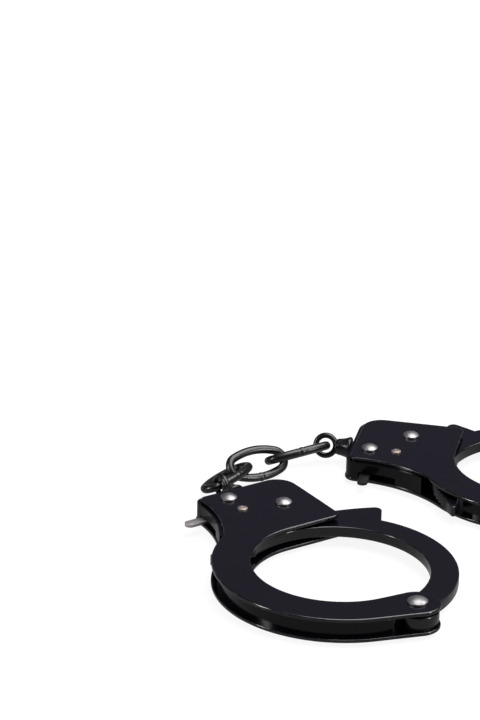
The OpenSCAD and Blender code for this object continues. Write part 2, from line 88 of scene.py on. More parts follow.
# %% [markdown]
# ## The camera
# The photograph was taken from a little above the table, with a long lens. The camera stands about a
# metre away, looks down by 23 degrees, and is tilted slightly. A long lens keeps the far cuff nearly as
# large as the near one.

# %% Camera
CAMERA_AT = Vector((-61.19, -1002.65, 490.27)) * MM
CAMERA_HEADING = math.radians(90.06)
CAMERA_DIP = math.radians(23.18)
CAMERA_ROLL = math.radians(1.32)
LENS_MM = 174.9
CLIP_END = 20.0


def camera_axes(heading, dip, roll):
    """The camera's right, up and backward directions, as the columns of a rotation."""
    forward = Vector((math.cos(heading) * math.cos(dip), math.sin(heading) * math.cos(dip), -math.sin(dip)))
    level = Vector((math.sin(heading), -math.cos(heading), 0))
    above = level.cross(forward)
    right = level * math.cos(roll) + above * math.sin(roll)
    return Matrix((right, right.cross(forward), -forward)).transposed()


camera = bpy.data.objects.new("camera", bpy.data.cameras.new("camera"))
camera.data.lens = LENS_MM
camera.data.clip_end = CLIP_END
aim = camera_axes(CAMERA_HEADING, CAMERA_DIP, CAMERA_ROLL)
camera.matrix_world = Matrix.Translation(CAMERA_AT) @ aim.to_4x4()
bpy.context.scene.collection.objects.link(camera)
bpy.context.scene.camera = camera
bpy.context.scene.view_settings.view_transform = "Standard"
print("camera at", [round(x, 3) for x in camera.location], "lens", camera.data.lens)

# %% [markdown]
# ## Small helpers for shader nodes
# A material is a graph of nodes. Writing it by hand takes three lines for each node, so one helper adds a
# node, sets its options and fills its sockets: a socket takes either a plain value or the output of
# another node.


# %% Node helpers
def add(tree, kind, inputs=None, **options):
    """A new shader node with its options set, and its inputs set or linked."""
    node = tree.nodes.new("ShaderNode" + kind)
    for name, value in options.items():
        setattr(node, name, value)
    for name, value in (inputs or {}).items():
        if isinstance(value, bpy.types.NodeSocket):
            tree.links.new(value, node.inputs[name])
        else:
            node.inputs[name].default_value = value
    return node


def maths(tree, operation, *values):
    """The result of a Math node."""
    return add(tree, "Math", dict(enumerate(values)), operation=operation).outputs[0]


def ranged(tree, value, low, high, to_low, to_high):
    """A value carried smoothly from one range to another."""
    inputs = {"Value": value, "From Min": low, "From Max": high, "To Min": to_low, "To Max": to_high}
    return add(tree, "MapRange", inputs, interpolation_type="SMOOTHSTEP").outputs["Result"]


def mixed(tree, share, first, second):
    """A colour that goes from the first to the second as share goes from 0 to 1."""
    node = add(tree, "Mix", {0: share, 6: first, 7: second}, data_type="RGBA")
    return node.outputs[2]


def new_group(name, inputs, outputs):
    """An empty node group with number inputs and outputs, and its two end nodes."""
    tree = bpy.data.node_groups.new(name, "ShaderNodeTree")
    for label, default in inputs.items():
        socket = tree.interface.new_socket(label, in_out="INPUT", socket_type="NodeSocketFloat")
        socket.default_value = default
    for label in outputs:
        tree.interface.new_socket(label, in_out="OUTPUT", socket_type="NodeSocketFloat")
    return tree, tree.nodes.new("NodeGroupInput").outputs, tree.nodes.new("NodeGroupOutput").inputs


def use_group(tree, group, **values):
    """A copy of a group in a material, with its own values, and its outputs."""
    node = tree.nodes.new("ShaderNodeGroup")
    node.node_tree = group
    for label, value in values.items():
        node.inputs[label.replace("_", " ").title()].default_value = value
    return node.outputs


print("node helpers ready")

# %% [markdown]
# ## Coat texture
# A dipped or sprayed coat is never quite flat: it dries with a faint orange peel, and its gloss changes a
# little from place to place where fingers have been. One noise gives the peel's height, and a much larger
# one the change in gloss.

# %% Node group: coat texture
coat_texture, given, out = new_group(
    "coat_texture", {"Peel Per Mm": 1.2, "Smudge Per Mm": 0.06}, ["Height", "Smudge"]
)
place = add(coat_texture, "TexCoord").outputs["Object"]
for label, density, detail in (("Height", "Peel Per Mm", 2), ("Smudge", "Smudge Per Mm", 4)):
    scale = maths(coat_texture, "DIVIDE", given[density], MM)
    noise = add(coat_texture, "TexNoise", {"Vector": place, "Scale": scale, "Detail": detail})
    coat_texture.links.new(noise.outputs[0], out[label])
print("group", coat_texture.name, "has", len(coat_texture.nodes), "nodes")

# %% [markdown]
# ## Edge wear
# Cuffs rub against each other and against keys, and the coat thins first on the edges. The rounded pieces
# made below carry a number named edge on each point, which is 1 in the middle of a rounded edge and 0 on
# the flats. The group breaks it up with noise, so that the wear comes in patches.

# %% Node group: edge wear
WEAR_PATCHES = (0.45, 0.75)
edge_wear, given, out = new_group("edge_wear", {"Amount": 0.5, "Patches Per Mm": 0.35}, ["Mask"])
place = add(edge_wear, "TexCoord").outputs["Object"]
scale = maths(edge_wear, "DIVIDE", given["Patches Per Mm"], MM)
patches = add(edge_wear, "TexNoise", {"Vector": place, "Scale": scale, "Detail": 5}).outputs[0]
edge = add(edge_wear, "Attribute", attribute_name="edge").outputs["Fac"]
worn = maths(edge_wear, "MULTIPLY", edge, ranged(edge_wear, patches, *WEAR_PATCHES, 0.0, 1.0))
edge_wear.links.new(maths(edge_wear, "MULTIPLY", worn, given["Amount"]), out["Mask"])
print("group", edge_wear.name, "has", len(edge_wear.nodes), "nodes")

# %% [markdown]
# ## Fine scratches
# Handling leaves hair-fine scratches in every direction. A noise that is stretched fiftyfold looks like a
# bundle of fibres, and keeping only the thin band round its middle value turns the bundle into single
# lines. Two bundles at an angle are enough.

# %% Node group: fine scratches
SCRATCH_ANGLES = (20, 105)
SCRATCH_TILT = (0.3, 0.2)
SCRATCH_STRETCH = 50
fine_scratches, given, out = new_group("fine_scratches", {"Lines Per Mm": 2.0, "Width": 0.02}, ["Mask"])
place = add(fine_scratches, "TexCoord").outputs["Object"]
scale = maths(fine_scratches, "DIVIDE", given["Lines Per Mm"], MM)
lines = []
for angle in SCRATCH_ANGLES:
    rotation = (*SCRATCH_TILT, math.radians(angle))
    stretched = {"Vector": place, "Rotation": rotation, "Scale": (1 / SCRATCH_STRETCH, 1, 1)}
    fibres = add(fine_scratches, "Mapping", stretched).outputs[0]
    noise = add(fine_scratches, "TexNoise", {"Vector": fibres, "Scale": scale, "Detail": 1}).outputs[0]
    off_middle = maths(fine_scratches, "ABSOLUTE", maths(fine_scratches, "SUBTRACT", noise, 0.5))
    lines.append(maths(fine_scratches, "LESS_THAN", off_middle, given["Width"]))
fine_scratches.links.new(maths(fine_scratches, "MAXIMUM", *lines), out["Mask"])
print("group", fine_scratches.name, "has", len(fine_scratches.nodes), "nodes")

# %% [markdown]
# ## The black coat
# The coat is black with a hint of violet, as a blackened and lacquered steel is. Its gloss is moderate,
# so that the sides stay deep black and mostly the lamps show in it. The walls in the gap, the swivels and
# the links get a weaker gloss than the plates. A plain black would look like plastic, so the three groups
# above give it peel, smudges, scratches and worn edges, each with values of its own.

# %% Material: black coat
WORN_STEEL = (0.16, 0.15, 0.16, 1)
SMUDGE_RANGE = (0.3, 0.7)
SMUDGE_GLOSS = (0.85, 1.2)
COAT_SCRATCH_WIDTH = 0.003
SCRATCH_DULLING = 0.03
PEEL_DEPTH = 0.01 * MM


def black_coat(name, colour, roughness, gloss, wear, peel):
    """A glossy black coat over steel, with orange peel, smudges, scratches and worn edges."""
    material = bpy.data.materials.new(name)
    material.use_nodes = True
    tree = material.node_tree
    shader = tree.nodes["Principled BSDF"]
    shader.inputs["Specular IOR Level"].default_value = gloss
    texture = use_group(tree, coat_texture)
    worn = use_group(tree, edge_wear, amount=wear)["Mask"]
    scratched = use_group(tree, fine_scratches, width=COAT_SCRATCH_WIDTH)["Mask"]
    tree.links.new(mixed(tree, worn, (*colour, 1), WORN_STEEL), shader.inputs["Base Color"])
    dull_range = [roughness * share for share in SMUDGE_GLOSS]
    smudged = ranged(tree, texture["Smudge"], *SMUDGE_RANGE, *dull_range)
    rough = maths(tree, "ADD", smudged, maths(tree, "MULTIPLY", scratched, SCRATCH_DULLING))
    tree.links.new(rough, shader.inputs["Roughness"])
    bump = add(tree, "Bump", {"Height": texture["Height"], "Strength": peel, "Distance": PEEL_DEPTH})
    tree.links.new(bump.outputs[0], shader.inputs["Normal"])
    return material


coats = {
    "black_gloss": black_coat(
        "plate_coat", (0.0014, 0.0013, 0.0024), roughness=0.14, gloss=0.5, wear=0.12, peel=0.12
    ),
    "black_wall": black_coat(
        "wall_coat", (0.001, 0.001, 0.0014), roughness=0.16, gloss=0.22, wear=0.1, peel=0.2
    ),
    "black_swivel": black_coat(
        "swivel_coat", (0.002, 0.0019, 0.0024), roughness=0.26, gloss=0.4, wear=0.03, peel=0.08
    ),
    "black_link": black_coat(
        "link_coat", (0.0025, 0.0022, 0.0024), roughness=0.27, gloss=0.4, wear=0.03, peel=0.06
    ),
}
print("coats:", sorted(coats))

# %% [markdown]
# ## Bare metals
# The rivets and the front lever are plated steel, and the key post is dull brass. The washers get a
# plating darkened almost to black, which is painted shade: the dark of the gap between the plates where
# they sit. The rear lever lies so deep in the dark that it looks black, so it gets a darkened copy of the
# front lever's plating, which is painted shade. A perfectly bright metal would show the room like a
# mirror. A rivet that is handled doesn't, so stains and scratches roughen each metal in patches.

# %% Material: bare metals
STAIN_RANGE = (0.42, 0.68)
STAIN_DULLING = 0.12
SCRATCH_STRENGTH = 0.1


def bare_metal(name, colour, stain, roughness, scratch_width):
    """A bare or plated metal, with stains that dull it in patches and fine scratches."""
    material = bpy.data.materials.new(name)
    material.use_nodes = True
    tree = material.node_tree
    shader = tree.nodes["Principled BSDF"]
    shader.inputs["Metallic"].default_value = 1
    texture = use_group(tree, coat_texture, smudge_per_mm=0.4)
    scratched = use_group(tree, fine_scratches, width=scratch_width, lines_per_mm=4.0)["Mask"]
    stained = ranged(tree, texture["Smudge"], *STAIN_RANGE, 0.0, 1.0)
    tree.links.new(mixed(tree, stained, (*colour, 1), (*stain, 1)), shader.inputs["Base Color"])
    dulled = maths(tree, "MULTIPLY_ADD", stained, STAIN_DULLING, roughness)
    rough = maths(tree, "MULTIPLY_ADD", scratched, SCRATCH_DULLING, dulled)
    tree.links.new(rough, shader.inputs["Roughness"])
    bump = add(tree, "Bump", {"Height": scratched, "Strength": SCRATCH_STRENGTH, "Distance": PEEL_DEPTH})
    tree.links.new(bump.outputs[0], shader.inputs["Normal"])
    return material


metals = {
    "rivet_steel": bare_metal(
        "rivet_plating", (0.22, 0.212, 0.213), stain=(0.155, 0.148, 0.148), roughness=0.4, scratch_width=0.03
    ),
    "lever_steel": bare_metal(
        "lever_plating", (0.58, 0.555, 0.555), stain=(0.44, 0.42, 0.42), roughness=0.34, scratch_width=0.04
    ),
    "post_brass": bare_metal(
        "post_brass", (0.25, 0.208, 0.19), stain=(0.15, 0.12, 0.108), roughness=0.5, scratch_width=0.05
    ),
    # painted shade: the washers' plating is darkened almost to black to match the shaded gap between the plates
    # where they sit
    "washer_steel": bare_metal(
        "washer_steel", (0.03, 0.029, 0.03), stain=(0.02, 0.019, 0.019), roughness=0.4, scratch_width=0.06
    ),
    # painted shade: the rear lever's plating darkened to near black, because that lever lies in the shade of the
    # case
    "lever_painted_shade": bare_metal(
        "lever_painted_shade", (0.05, 0.048, 0.05), stain=(0.03, 0.029, 0.03), roughness=0.36, scratch_width=0.04
    ),
}
finishes = coats | metals
print("metals:", sorted(metals))

# %% [markdown]
# ## Outlines from the CAD pieces
# The plates and strands are flat pieces cut along an outline. The outline is already in the frame: it is
# where the flat top of a CAD piece ends. This cell walks along those edges and returns closed loops of
# points, with the metal always on the left, so that a later step knows which way is inside.

# %% Read an outline
WELD = 0.002 * MM
SHORTEST_STEP = 0.04 * MM
LEVEL_ENOUGH = 0.999


def thinned(points):
    """A loop without the points that lie almost on the point before them."""
    kept = []
    for point in points:
        if not kept or (point - kept[-1]).length > SHORTEST_STEP:
            kept.append(point)
    return kept[:-1] if (kept[0] - kept[-1]).length <= SHORTEST_STEP else kept


def flat_faces(bm):
    """The faces of a welded mesh that look straight up."""
    return [face for face in bm.faces if face.normal.z > LEVEL_ENOUGH]


def welded(node):
    """A scratch copy of a CAD node's mesh with its seams closed."""
    bm = bmesh.new()
    bm.from_mesh(nodes[node].data)
    bmesh.ops.remove_doubles(bm, verts=bm.verts, dist=WELD)
    return bm


def top_level(node):
    """The height of a CAD node's highest flat face."""
    bm = welded(node)
    level = max(round(face.verts[0].co.z / WELD) for face in flat_faces(bm)) * WELD
    bm.free()
    return level


def outlines(node):
    """The loops round a CAD node's flat top, with the metal on their left."""
    level = top_level(node)
    bm = welded(node)
    flat = {face for face in flat_faces(bm) if abs(face.verts[0].co.z - level) < WELD}
    following = {}
    for face in bm.faces:
        if face in flat:
            for corner in face.loops:
                if sum(other in flat for other in corner.edge.link_faces) == 1:
                    following[corner.vert] = corner.link_loop_next.vert
    loops = []
    while following:
        start, here = following.popitem()
        points = [start.co.xy.copy()]
        while here is not start:
            points.append(here.co.xy.copy())
            here = following.pop(here)
        loops.append(thinned(points))
    bm.free()
    return loops


top_plate_level = top_level("top_plate_a")
loop_count = len(outlines("top_plate_a"))
print("a top plate has", loop_count, "outlines at", round(top_plate_level / MM, 2), "mm")

# %% [markdown]
# ## Slabs with rounded edges
# A bevel modifier could round the edges of a copied CAD mesh, but its long thin triangles make a bevel
# pinch and shade badly. Since the outlines are known, the rounded edge is built directly: the outline is
# repeated at several heights, each time drawn in a little, so that the rings follow a quarter circle. The
# last ring lies flat on the face, which keeps the shading of the large face perfectly even.

# %% Build a rounded slab
ARC_STEPS = 5
FLAT_RIM = 0.12 * MM
MITRE_LIMIT = 0.4


def inward_steps(points):
    """For each point of a loop, the move that takes both of its edges one unit into the metal."""
    steps = []
    for before, here, after in zip(points[-1:] + points[:-1], points, points[1:] + points[:1]):
        first = (here - before).normalized().orthogonal()
        second = (after - here).normalized().orthogonal()
        steps.append((first + second) / max(1 + first.dot(second), MITRE_LIMIT))
    return steps


def rim_profile(low, high, round_low, round_high):
    """Inset, height and wear of each ring, from the flat underside up to the flat top."""
    lower, upper = [], []
    for i in range(ARC_STEPS + 1):
        angle = math.pi / 2 * i / ARC_STEPS
        from_start, to_end = 1 - math.cos(angle), 1 - math.sin(angle)
        worn = math.sin(2 * angle)
        lower.append((round_low * to_end, low + round_low * from_start, worn))
        upper.append((round_high * from_start, high - round_high * to_end, worn))
    return [(round_low + FLAT_RIM, low, 0), *lower, *upper, (round_high + FLAT_RIM, high, 0)]


def add_ring(bm, points, steps, inset, height):
    """A ring of new vertices along an outline that is drawn in by inset."""
    return [bm.verts.new((*(point + step * inset), height)) for point, step in zip(points, steps)]


def add_band(bm, lower, upper):
    """The faces between two closed rings with as many points."""
    count = len(lower)
    for i in range(count):
        j = (i + 1) % count
        bm.faces.new((lower[i], lower[j], upper[j], upper[i]))


def rounded_slab(loops, low, high, round_low, round_high):
    """A flat piece with the given outlines, whose lower and upper edges are rounded."""
    bm = bmesh.new()
    edge = bm.verts.layers.float.new("edge")
    caps = ([], [])
    for points in loops:
        steps = inward_steps(points)
        rings = []
        for inset, height, worn in rim_profile(low, high, round_low, round_high):
            rings.append(add_ring(bm, points, steps, inset, height))
            for vert in rings[-1]:
                vert[edge] = worn
        for lower, upper in zip(rings, rings[1:]):
            add_band(bm, lower, upper)
        for cap, ring in zip(caps, (rings[0], rings[-1])):
            cap += [bm.edges.get(pair) for pair in zip(ring, ring[1:] + ring[:1])]
    for cap in caps:
        bmesh.ops.triangle_fill(bm, use_beauty=True, edges=cap)
    return bm


print("one rounded edge takes", 2 * (ARC_STEPS + 2), "rings")

# %% [markdown]
# ## From a mesh to a piece
# A bmesh is only a workbench. It becomes an object here, with smooth shading that stops at sharp edges.
# The object is then put in the place of a CAD node: it rides on the same body, so that it moves with the
# joints, and has its slot.

# %% Finish a mesh and put it in place
SHARP_ANGLE = math.radians(38)


def finish_mesh(bm, name):
    """A new object from a bmesh, smooth except at its sharp edges."""
    bmesh.ops.recalc_face_normals(bm, faces=bm.faces)
    for face in bm.faces:
        face.smooth = True
    for side in bm.edges:
        side.smooth = side.calc_face_angle(0) < SHARP_ANGLE
    mesh = bpy.data.meshes.new(name)
    bm.to_mesh(mesh)
    bm.free()
    piece = bpy.data.objects.new(name, mesh)
    bpy.context.scene.collection.objects.link(piece)
    return piece


def stand_in(piece, node, finish=None):
    """Puts a new piece in a CAD node's place, on the same body, with its slot's finish or another."""
    piece.data.materials.append(finishes[finish or slot_of[node]])
    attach(piece, body_of[node])
    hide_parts(node)
    return piece


print("edges over", round(math.degrees(SHARP_ANGLE)), "degrees stay sharp")

# %% [markdown]
# ## The cheek plates
# Each cuff has two stamped plates, riveted together over the lock. On the real ones the edges are tumbled
# smooth before the coat goes on, so the outer edges are rounder than the inner ones, which face the gap.

# %% Cheek plates
PLATE_OUTER_ROUND = 0.45 * MM
PLATE_INNER_ROUND = 0.25 * MM
for cuff in CUFFS:
    for kind in ("top_plate", "bottom_plate"):
        node = f"{kind}_{cuff}"
        low, high = (corner.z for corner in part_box(node))
        rounds = (PLATE_INNER_ROUND, PLATE_OUTER_ROUND)[:: 1 if kind == "top_plate" else -1]
        loops = outlines(node)
        piece = finish_mesh(rounded_slab(loops, low, high, *rounds), f"{kind}_coated_{cuff}")
        stand_in(piece, node)
        print(piece.name, len(piece.data.polygons), "faces")

# %% [markdown]
# ## The strands
# A strand is the toothed half of the ring that swings through the lock. It is a thicker stamping. The
# corners of its tip are broken on a grinding wheel so that they don't dig into a wrist. They are sharp in
# the outline, so they are replaced by small arcs first. The short edges of the teeth are left alone.

# %% Strands
STRAND_ROUND = 0.35 * MM
TIP_CORNER_R = 0.3 * MM
CORNER_TURN = math.radians(25)
CORNER_STEPS = 6
TOOTH_SIDE = 1.5 * MM
SIDE_SHARE = 0.45


def round_corner(before, here, after):
    """Points along an arc that takes the place of a convex corner."""
    back, ahead = (before - here).normalized(), (after - here).normalized()
    half = back.angle(ahead) / 2
    shorter_side = min((before - here).length, (after - here).length)
    reach = min(TIP_CORNER_R / math.tan(half), SIDE_SHARE * shorter_side)
    radius = reach * math.tan(half)
    centre = here + (back + ahead).normalized() * (radius / math.sin(half))
    start, end = here + back * reach - centre, here + ahead * reach - centre
    way = [start.normalized().slerp(end.normalized(), i / CORNER_STEPS) for i in range(CORNER_STEPS + 1)]
    return [centre + direction * radius for direction in way]


def with_round_corners(points):
    """A loop whose convex corners between long edges are rounded."""
    rounded = []
    for before, here, after in zip(points[-1:] + points[:-1], points, points[1:] + points[:1]):
        turn = (here - before).angle_signed(after - here)
        long_sides = min((here - before).length, (after - here).length) > TOOTH_SIDE
        is_corner = long_sides and -turn > CORNER_TURN
        rounded += round_corner(before, here, after) if is_corner else [here]
    return rounded


for cuff in CUFFS:
    node = f"strand_{cuff}"
    low, high = (corner.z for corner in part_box(node))
    loops = [with_round_corners(points) for points in outlines(node)]
    piece = finish_mesh(rounded_slab(loops, low, high, STRAND_ROUND, STRAND_ROUND), f"strand_coated_{cuff}")
    stand_in(piece, node)
    print(piece.name, [len(points) for points in loops], "outline points")

# %% [markdown]
# ## Pawls with their levers
# The pawl is one plated stamping: a toothed head inside the lock, and a lever that comes out of the side
# of the case. It has two flat levels, so it isn't a slab. Here a bevel is the right tool: the CAD mesh is
# copied, its flat faces are merged back into single polygons, and every sharp edge gets a small round.
# The front lever gets the plating, and the rear lever a darkened copy of it as painted shade, because it lies deep
# in the shade of the case.

# %% Pawls
PAWL_ROUND = 0.4 * MM
PAWL_ROUND_STEPS = 4
FLAT_ANGLE = math.radians(1)
# the rear lever's finish is painted shade, a darkened copy of the front lever's plating
LEVER_FINISH = {"a": "lever_steel", "b": "lever_painted_shade"}
for cuff in CUFFS:
    node = f"pawl_{cuff}"
    bm = welded(node)
    bmesh.ops.dissolve_limit(bm, angle_limit=FLAT_ANGLE, verts=bm.verts, edges=bm.edges)
    sharp = [side for side in bm.edges if side.calc_face_angle(0) > SHARP_ANGLE]
    rounding = {"offset": PAWL_ROUND, "segments": PAWL_ROUND_STEPS, "profile": 0.5, "clamp_overlap": True}
    bmesh.ops.bevel(bm, geom=sharp, affect="EDGES", **rounding)
    piece = stand_in(finish_mesh(bm, f"pawl_plated_{cuff}"), node, LEVER_FINISH[cuff])
    print(piece.name, len(piece.data.polygons), "faces")

# %% [markdown]
# ## Turned pieces
# Rivets, the key post and the swivels are round, so each is a profile that is spun about an axis. A
# profile is a list of radius and height pairs. Corners are cut by a short slant, because a real rivet is
# headed in a die and has no sharp rim.

# %% Spin a profile
SPIN_STEPS = 64


def spun(profile, place):
    """A closed mesh made by turning a profile about its height axis. The ends lie on the axis."""
    bm = bmesh.new()
    rings = []
    for radius, height in profile[1:-1]:
        angles = (2 * math.pi * i / SPIN_STEPS for i in range(SPIN_STEPS))
        rings.append([bm.verts.new((radius * math.cos(a), radius * math.sin(a), height)) for a in angles])
    for lower, upper in zip(rings, rings[1:]):
        add_band(bm, lower, upper)
    for ring, (_, height) in ((rings[0], profile[0]), (rings[-1], profile[-1])):
        pole = bm.verts.new((0, 0, height))
        for pair in zip(ring, ring[1:] + ring[:1]):
            bm.faces.new((*pair, pole))
    bm.transform(place)
    return bm


def dome(base_r, height, base_z, steps=8):
    """Profile of a low dome, from its rim up to just before its pole."""
    ball_r = (base_r**2 + height**2) / (2 * height)
    reach = math.asin(base_r / ball_r)
    angles = [reach * (1 - i / steps) for i in range(steps)]
    return [(ball_r * math.sin(a), base_z + height - ball_r * (1 - math.cos(a))) for a in angles]


print("turned pieces have", SPIN_STEPS, "sides")

# %% [markdown]
# ## Rivets
# A rivet is a pin with a dome at each end. The dome stands on a thin rim, which catches a dark line of
# its own and sets it off from the plate.

# %% Rivets
SHANK_R = 2 * MM
RIVET_RIM = 0.6 * MM
RIVET_RIM_ROUND = 0.15 * MM


def rivet_half(head_r, plate_top, top):
    """Profile of a rivet from its middle up to its pole, measured from the middle of the cuff."""
    rim_top = plate_top + RIVET_RIM
    rim = [(head_r - RIVET_RIM_ROUND, plate_top), (head_r, plate_top + RIVET_RIM_ROUND), (head_r, rim_top)]
    dome_z = rim_top + RIVET_RIM_ROUND
    crown = dome(head_r - RIVET_RIM_ROUND, top - dome_z, dome_z)
    return [(SHANK_R, 0), (SHANK_R, plate_top), *rim, *crown, (0, top)]


for cuff in CUFFS:
    for kind in ("hinge_rivet", "foot_rivet", "pawl_rivet"):
        node = f"{kind}_{cuff}"
        low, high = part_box(node)
        middle = (low + high) / 2
        half = rivet_half((high.x - low.x) / 2, top_plate_level - middle.z, high.z - middle.z)
        profile = [(radius, -height) for radius, height in half[:0:-1]] + half[1:]
        bm = spun(profile, Matrix.Translation(middle))
        stand_in(finish_mesh(bm, f"{kind}_plated_{cuff}"), node)
    print("rivets of cuff", cuff, "stand", round((high.z - top_plate_level) / MM, 2), "mm proud")

# %% [markdown]
# ## Key posts
# The brass post is riveted into the top plate with a centre punch, which leaves a small dimple in its
# end. Inside the lock it has a shoulder against the plate, and its free end guides the hollow key.

# %% Key posts
DIMPLE_R = 0.62 * MM
DIMPLE_FLOOR_R = 0.434 * MM
DIMPLE_DEPTH = 0.3 * MM
DIMPLE_LIP = 0.075 * MM
POST_CHAMFER = 0.2 * MM
SHOULDER_T = 0.6 * MM
POST_DOME_H = 0.35 * MM
for cuff in CUFFS:
    node = f"key_post_{cuff}"
    mount = next(m for m in record["mounts"] if m["name"] == node)
    post_r = mount["dims"]["r_mm"] * MM
    low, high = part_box(node)
    at = Vector(((low.x + high.x) / 2, (low.y + high.y) / 2, 0))
    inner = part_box(f"top_plate_{cuff}")[0].z
    profile = [(0, low.z), (post_r - POST_CHAMFER, low.z), (post_r, low.z + POST_CHAMFER)]
    shoulder_r, shoulder_z = post_r + SHOULDER_T, inner - SHOULDER_T
    profile += [(post_r, shoulder_z), (shoulder_r, shoulder_z), (shoulder_r, inner)]
    profile += [(post_r, inner), (post_r, top_plate_level)]
    crown = dome(post_r, POST_DOME_H, high.z - POST_DOME_H)
    profile += [(radius, height) for radius, height in crown if radius > DIMPLE_R]
    dimple_z = high.z - DIMPLE_DEPTH
    profile += [(DIMPLE_R, high.z - DIMPLE_LIP), (DIMPLE_FLOOR_R, dimple_z), (0, dimple_z)]
    stand_in(finish_mesh(spun(profile, Matrix.Translation(at)), f"key_post_punched_{cuff}"), node)
    print(node, "is", round(2 * post_r / MM, 2), "mm thick")

# %% [markdown]
# ## Melting two bodies into one
# A swivel is forged in one piece, but it is easiest to draw as two: a turned shank and a ring of wire.
# The two only cross each other. A voxel remesh melts them into one skin, and a little smoothing leaves
# the soft fillet of a forging where they meet.

# %% Rings, joining and melting
SWIVEL_VOXEL = 0.16 * MM
SWIVEL_SMOOTHING = 6


def ring_tube(centre_r, wire_r, place, around=72, across=20):
    """A plain ring of round wire."""
    bm = bmesh.new()
    turns = []
    for i in range(around):
        a = 2 * math.pi * i / around
        spokes = [2 * math.pi * j / across for j in range(across)]
        radii = [(centre_r + wire_r * math.cos(b), wire_r * math.sin(b)) for b in spokes]
        turns.append([bm.verts.new((r * math.cos(a), r * math.sin(a), z)) for r, z in radii])
    for one, other in zip(turns, turns[1:] + turns[:1]):
        add_band(bm, one, other)
    bm.transform(place)
    return bm


def joined(first, second):
    """One bmesh with the parts of two."""
    scratch = bpy.data.meshes.new("scratch")
    second.to_mesh(scratch)
    second.free()
    first.from_mesh(scratch)
    bpy.data.meshes.remove(scratch)
    return first


def melted(piece, voxel, smoothing):
    """Gives a piece the one skin that a voxel remesh and some smoothing leave."""
    remesh = piece.modifiers.new("remesh", "REMESH")
    remesh.mode = "VOXEL"
    remesh.voxel_size = voxel
    smooth = piece.modifiers.new("smooth", "SMOOTH")
    smooth.iterations = smoothing
    shown = piece.evaluated_get(bpy.context.evaluated_depsgraph_get())
    skin = bpy.data.meshes.new_from_object(shown)
    piece.modifiers.clear()
    piece.data = skin
    for face in skin.polygons:
        face.use_smooth = True
    return piece


print("a melted piece has voxels of", round(SWIVEL_VOXEL / MM, 2), "mm")

# %% [markdown]
# ## Swivels
# A swivel has a round head and neck inside the lock, a flared collar outside it, and a ring that the
# chain hooks into. Its joint gives the middle of the ring and the direction out of the case. Which way
# the ring faces is read from the CAD mesh: seen along the shank, a ring is a wide flat strip, and the
# narrow direction of that strip is its axis.

# %% Swivels
EYE_R = 3.35 * MM
EYE_WIRE_R = 0.95 * MM
EYE_REACH = 9.1 * MM
HEAD_PROFILE = ((0, -3.6), (2.1, -3.6), (2.4, -3.3), (2.4, -2.7), (2.1, -2.4))
NECK_PROFILE = ((1.75, -2.35), (1.75, 0.3))
COLLAR_PROFILE = ((3.3, 0.3), (3.65, 0.6), (3.65, 1.2), (3.4, 1.7), (3.1, 2.6), (2.85, 3.7), (2.7, 4.8))
TIP_PROFILE = ((2.5, 5.3), (1.6, 5.7), (0, 5.8))
SHANK_PROFILE = HEAD_PROFILE + NECK_PROFILE + COLLAR_PROFILE + TIP_PROFILE
for cuff, joint in (("a", "swivel_a_turn"), ("b", "cuff_b_turn")):
    node = f"swivel_{cuff}"
    eye = Vector(joints[joint]["pos_m"])
    out_of_case = Vector(joints[joint]["axis"])
    points = np.array([vert.co for vert in nodes[node].data.vertices]) - np.array(eye)
    ring_half = points[points @ np.array(out_of_case) > 0]
    flat = ring_half - np.outer(ring_half @ np.array(out_of_case), np.array(out_of_case))
    ring_axis = Vector(np.linalg.eigh(flat.T @ flat)[1][:, 1])
    ring_axis = (ring_axis - out_of_case * ring_axis.dot(out_of_case)).normalized()
    across = out_of_case.cross(ring_axis)
    along = Matrix((ring_axis, across, out_of_case)).transposed().to_4x4()
    shank = [(radius * MM, height * MM - EYE_REACH) for radius, height in SHANK_PROFILE]
    bm = spun(shank, Matrix.Translation(eye) @ along)
    upright = Matrix((across, out_of_case, ring_axis)).transposed().to_4x4()
    bm = joined(bm, ring_tube(EYE_R, EYE_WIRE_R, Matrix.Translation(eye) @ upright))
    piece = melted(finish_mesh(bm, f"swivel_forged_{cuff}"), SWIVEL_VOXEL, SWIVEL_SMOOTHING)
    stand_in(piece, node)
    print(piece.name, len(piece.data.polygons), "faces")

# %% [markdown]
# ## The wire of a link
# Each link is cut from round wire, bent to an oval and butt-welded in the middle of one side. Its middle
# line is made of two flat side arcs and two tight end arcs that run into each other smoothly. The weld
# leaves a slightly swollen collar with a groove beside it, so the wire's radius depends on how far the
# weld is.

# %% Middle line and radius of the wire
LINK_L = 20.6 * MM
LINK_W = 9.3 * MM
LINK_END_R = 3.4 * MM
LINK_WIRE_R = 1.4 * MM
WELD_SWELL = 0.1 * MM
WELD_GROOVE = 0.12 * MM
WELD_HALF = 0.9 * MM
GROOVE_HALF = WELD_HALF / 3
LINK_STEP = 0.35 * MM


